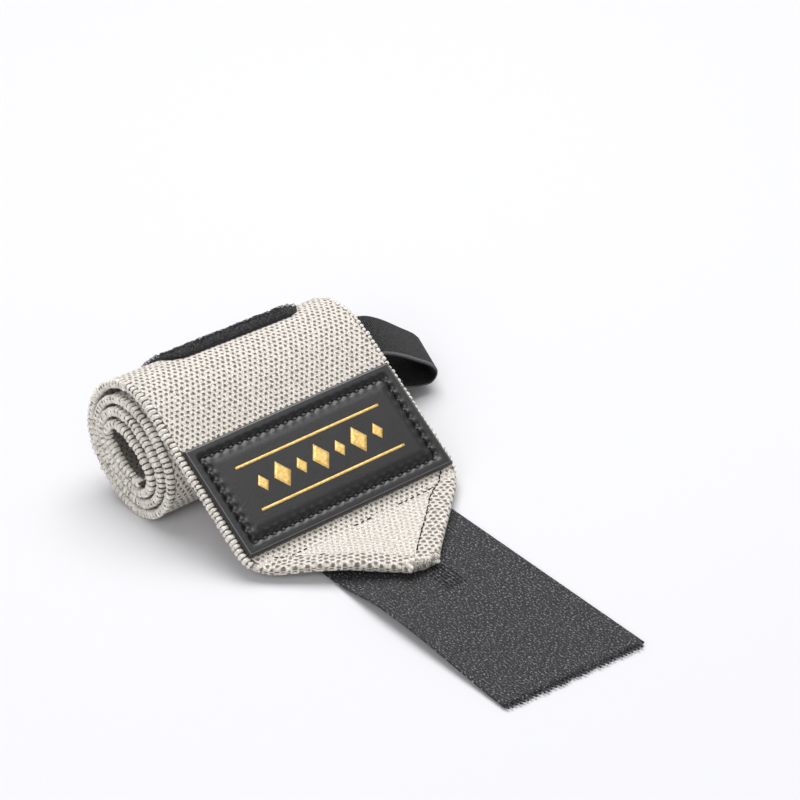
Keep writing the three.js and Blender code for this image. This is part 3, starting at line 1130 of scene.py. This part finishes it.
def stray_fibres():
    """Fine ends of yarn that stand off the whipped edges and the hems"""
    chance = random.Random(17)
    places = []
    for side in (-1, 1):
        for i in range(stray.count):
            along = chance.uniform(2, band_length - 1)
            outer = half_width(along) + (0.15 if along < point_start else -0.2)
            height = chance.uniform(-1.1, 1.3)
            spin = Matrix.Rotation(chance.uniform(0, 2 * math.pi), 4, "X")
            lean = Matrix.Rotation(rad(-90 * side + chance.uniform(-50, 50)), 4, "X")
            turn = Matrix.Rotation(chance.uniform(-0.9, 0.9), 4, "Y")
            size = chance.uniform(0.4, 1.1)
            grow = Matrix.Diagonal((size, 1, size, 1))
            place = cloth_frame(along, side * outer, height)
            places.append(place @ lean @ turn @ spin @ grow)
    shape = arc_shape(stray.length / 2, stray.width, math.pi * 0.7, 4, sides=3)
    bmesh.ops.translate(shape, verts=shape.verts[:], vec=(-stray.length / 2, 0, 0))
    return repeated("stray_fibres", shape, places, whipped_thread_finish)


def tip_fuzz():
    """Frayed yarn ends on the blunt tip"""
    chance = random.Random(19)
    places = []
    for i in range(fray.count):
        along = band_length - chance.uniform(-0.3, 2.4)
        across = chance.uniform(-1, 1) * half_width(along)
        height = chance.uniform(0.2, 1.5)
        turn = Matrix.Rotation(chance.uniform(-1.2, 1.2), 4, "Z")
        tilt = Matrix.Rotation(chance.uniform(-0.9, 0.5), 4, "Y")
        places.append(cloth_frame(along, across, height) @ turn @ tilt)
    shape = arc_shape(fray.radius, fray.width, math.pi * 0.75, 4, sides=3)
    return repeated("tip_fuzz", shape, places, whipped_thread_finish)


def tip_knots():
    """The thick ends of the hems' yarn, bunched at both corners of the blunt tip"""
    chance = random.Random(23)
    places = []
    for side in (-1, 1):
        for i in range(knot.count):
            along = band_length - chance.uniform(0.2, 2.6)
            across = side * (point.tip_width / 2 - chance.uniform(-0.5, 2.6))
            height = chance.uniform(0.2, 1.5)
            turn = Matrix.Rotation(chance.uniform(-1.3, 1.3), 4, "Z")
            tilt = Matrix.Rotation(chance.uniform(-0.6, 0.6), 4, "Y")
            grow = Matrix.Diagonal((chance.uniform(0.8, 1.3), 1, 1, 1))
            places.append(cloth_frame(along, across, height) @ turn @ tilt @ grow)
    shape = bead_shape(knot.length, knot.depth, knot.height)
    return repeated("tip_knots", shape, places, whipped_thread_finish)


def centripetal(points, per_span):
    """A smooth curve through the points that doesn't overshoot, as many small steps"""
    ends = [points[0] * 2 - points[1]] + points + [points[-1] * 2 - points[-2]]
    found = []
    for i in range(len(points) - 1):
        a, b, c, d = ends[i : i + 4]
        ab = math.sqrt((b - a).length)
        bc = math.sqrt((c - b).length)
        cd = math.sqrt((d - c).length)
        way_b = ((b - a) / ab - (c - a) / (ab + bc) + (c - b) / bc) * bc
        way_c = ((c - b) / bc - (d - b) / (bc + cd) + (d - c) / cd) * bc
        for step in range(per_span):
            t = step / per_span
            cube = b * 2 - c * 2 + way_b + way_c
            square = c * 3 - b * 3 - way_b * 2 - way_c
            found.append(b + way_b * t + square * t * t + cube * t**3)
    return found + [points[-1]]


wound_angles = [mix(roll.inner_end, leave_angle, i / 119) for i in range(120)]
core_height = band.edge / 2 - min(roll_point(angle).y for angle in wound_angles)
mouth = band.width / 2 - roll.telescope * roll.turns - roll.lean / 2


def strap_route():
    """The thumb strap's middle line in the core's own plane, x out of the roll and y up, with the
    distances along it"""
    ply = (thumb.thickness + clearance) / 2
    # Each row is (how far out, how far up), as shares of the loop's reach and rise
    shares = [
        (0.0, 0.03),
        (0.14, 0.24),
        (0.26, 0.32),
        (0.39, 0.28),
        (0.54, 0.11),
        (0.77, -0.26),
        (0.93, -0.55),
        (0.98, -0.74),
        (0.93, -0.86),
        (0.82, -0.83),
        (0.62, -0.65),
        (0.37, -0.37),
        (0.16, -0.15),
        (0.0, -0.03),
    ]
    points = [Vector((mouth - thumb.sewn_depth, ply))]
    points += [Vector((mouth + out * thumb.reach, up * thumb.rise)) for out, up in shares]
    points.append(Vector((mouth - thumb.sewn_depth, -ply)))
    route = centripetal(points, 24)
    run = [0]
    for a, b in zip(route, route[1:]):
        run.append(run[-1] + (b - a).length)
    return route, run


inner_face = 100
strap_points, strap_run = strap_route()
strap_length = strap_run[-1]


def strap_place(along, share, layer):
    after = min(len(strap_run) - 1, max(1, bisect.bisect_left(strap_run, along)))
    a = strap_points[after - 1]
    b = strap_points[after]
    part = (along - strap_run[after - 1]) / (strap_run[after] - strap_run[after - 1])
    at = a.lerp(b, part)
    before = strap_points[max(0, after - 3)]
    beyond = strap_points[min(len(strap_points) - 1, after + 2)]
    way = (beyond - before).normalized()
    free = smooth(at.x, mouth - 2, mouth + thumb.reach * 0.3)
    to_fold = smooth(at.x, mouth + thumb.reach * 0.4, mouth + thumb.reach)
    tilt = rad(mix(roll.tilt, mix(thumb_lie.tilt, thumb_lie.fold_tilt, to_fold), free))
    skew = thumb_lie.fold_skew * max(0, (at.x - mouth) / thumb.reach)
    bow = thumb.camber * (1 - free)
    slot_middle = (band.edge + roll.side_gap) / 4
    edge = rounded((1 - abs(share)) * thumb.width / 2 + 0.06, 0.5)
    half = layer * thumb.thickness / 2 * edge
    x = at.x - way.y * half + share * skew
    middle = slot_middle * (1 - free) - bow * (1 - share**2)
    height = at.y + way.x * half + middle
    width = share * thumb.width / 2
    y = width * math.cos(tilt) - height * math.sin(tilt) * (1 - free)
    z = core_height + width * math.sin(tilt) + height * mix(math.cos(tilt), 1, free)
    # The inner face is the far part of the surface's own map, so that its material can paint it in
    # shade
    return Vector((x, y, z)), (along, width if layer > 0 else inner_face + width)


def thumb_strap():
    shares = [math.sin(math.pi / 2 * (i / 9 - 1)) for i in range(19)]
    bm = slab(cuts(strap_length, 0.9), shares, strap_place)
    made = finished("thumb_strap", bm, strap_weave())
    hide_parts("thumb_loop")
    return made


def table():
    bm = bmesh.new()
    bmesh.ops.create_grid(bm, x_segments=2, y_segments=2, size=3)
    mesh = bpy.data.meshes.new("table")
    bm.to_mesh(mesh)
    bm.free()
    mesh.materials.append(pale_floor())
    made = bpy.data.objects.new("table", mesh)
    bpy.context.scene.collection.objects.link(made)


def camera():
    """The photograph's view: from the near left, looking down"""
    made = bpy.data.objects.new("camera", bpy.data.cameras.new("camera"))
    bpy.context.scene.collection.objects.link(made)
    made.location = (-0.59652, -0.67310, 0.58590)
    looking_down = 31.106
    turned = -41.089
    made.rotation_euler = (rad(90 - looking_down), 0, rad(turned))
    made.data.sensor_width = 36
    made.data.lens = 166.02
    made.data.clip_start = 0.05
    bpy.context.scene.camera = made


def soft_lamp(name, energy, size, place):
    """A square lamp that shines on the middle of the table"""
    lamp = bpy.data.lights.new(name, "AREA")
    lamp.energy = energy
    lamp.shape = "SQUARE"
    lamp.size = size
    made = bpy.data.objects.new(name, lamp)
    bpy.context.scene.collection.objects.link(made)
    made.location = place
    made.rotation_euler = (-Vector(place)).to_track_quat("-Z", "Y").to_euler()


def studio():
    """Even white light all round, a large soft lamp overhead, a weaker one from the left, and a small
    one that gives the patch its sheen"""
    bpy.context.scene.view_settings.view_transform = "Standard"
    world = bpy.data.worlds.new("studio")
    bpy.context.scene.world = world
    world.use_nodes = True
    background = world.node_tree.nodes["Background"]
    background.inputs["Color"].default_value = linear("#ffffff")
    background.inputs["Strength"].default_value = 0.35
    soft_lamp("overhead", 19.4, 1.2, (0.25, 0.35, 1.3))
    soft_lamp("sheen", 0.9, 0.5, (0.62, -0.1, 1.0))
    soft_lamp("left", 8, 0.8, (-1.1, -0.6, 0.9))


camera()
table()
studio()

whipped_thread_finish = whipped_thread()
sewing_finish = sewing_thread()
pile_finish = loop_pile()
tape_finish = hook_tape_weave()

band_piece = elastic_band()
edges_piece = whipped_edges()
patch_piece = leather_patch()
patch_thread_piece = patch_thread()
foil_piece = foil_ornament()
strip_piece = pile_strip()
loops_piece = pile_loops()
tape_piece = hook_tape()
teeth_piece = cut_teeth()
hooks_piece = tape_hooks()
seams_piece = point_seams()
tab_seam_piece = tab_seam()
strays_piece = stray_fibres()
fuzz_piece = tip_fuzz()
knots_piece = tip_knots()
strap_piece = thumb_strap()
